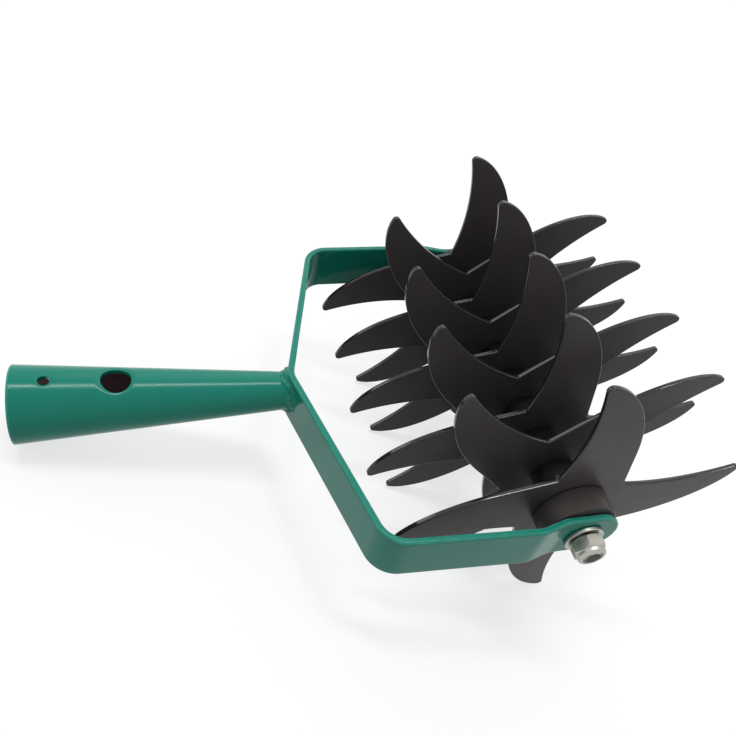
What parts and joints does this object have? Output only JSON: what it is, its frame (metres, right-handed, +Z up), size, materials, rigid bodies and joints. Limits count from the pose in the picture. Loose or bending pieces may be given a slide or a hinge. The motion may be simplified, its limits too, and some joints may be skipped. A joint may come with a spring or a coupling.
{
  "type": "garden cultivator head",
  "caption": "Rolling star cultivator head: a tapered handle socket on a bent flat-bar yoke, with hooked star discs turning on a long bolt between its arms.",
  "frame": {"origin": "on the ground, under the middle of the tool's outer box as it lies on its socket's mouth and its lowest teeth", "axes": "+X from the socket towards the rotor, +Y along the bolt towards its head, +Z up"},
  "size_m": [0.2948, 0.1952, 0.1456],
  "materials": {
    "green_paint": "glossy green enamel on steel",
    "black_paint": "satin black enamel on the steel rotor",
    "zinc": "bright zinc plate on steel",
    "nylon": "natural nylon"
  },
  "bodies": {
    "frame": {"socket": "green_paint", "socket_weld": "green_paint", "yoke": "green_paint", "axle_bolt": "zinc", "bolt_washer": "zinc", "nut_washer": "zinc", "lock_nut": "zinc", "lock_nut_insert": "nylon"},
    "rotor": {"star_disc_1": "black_paint", "star_disc_2": "black_paint", "star_disc_3": "black_paint", "star_disc_4": "black_paint", "star_disc_5": "black_paint", "star_disc_6": "black_paint", "star_disc_7": "black_paint", "star_disc_8": "black_paint", "star_disc_9": "black_paint", "spacer_1": "black_paint", "spacer_2": "black_paint", "spacer_3": "black_paint", "spacer_4": "black_paint", "spacer_5": "black_paint", "spacer_6": "black_paint", "spacer_7": "black_paint", "spacer_8": "black_paint", "end_bush_far": "black_paint", "end_bush_near": "black_paint"}
  },
  "joints": [
    {"name": "rotor_spin", "type": "hinge", "parent": "frame", "child": "rotor", "pos_m": [0.07463, 0.00145, 0.0728], "axis": [0, 1, 0], "continuous": true}
  ]
}
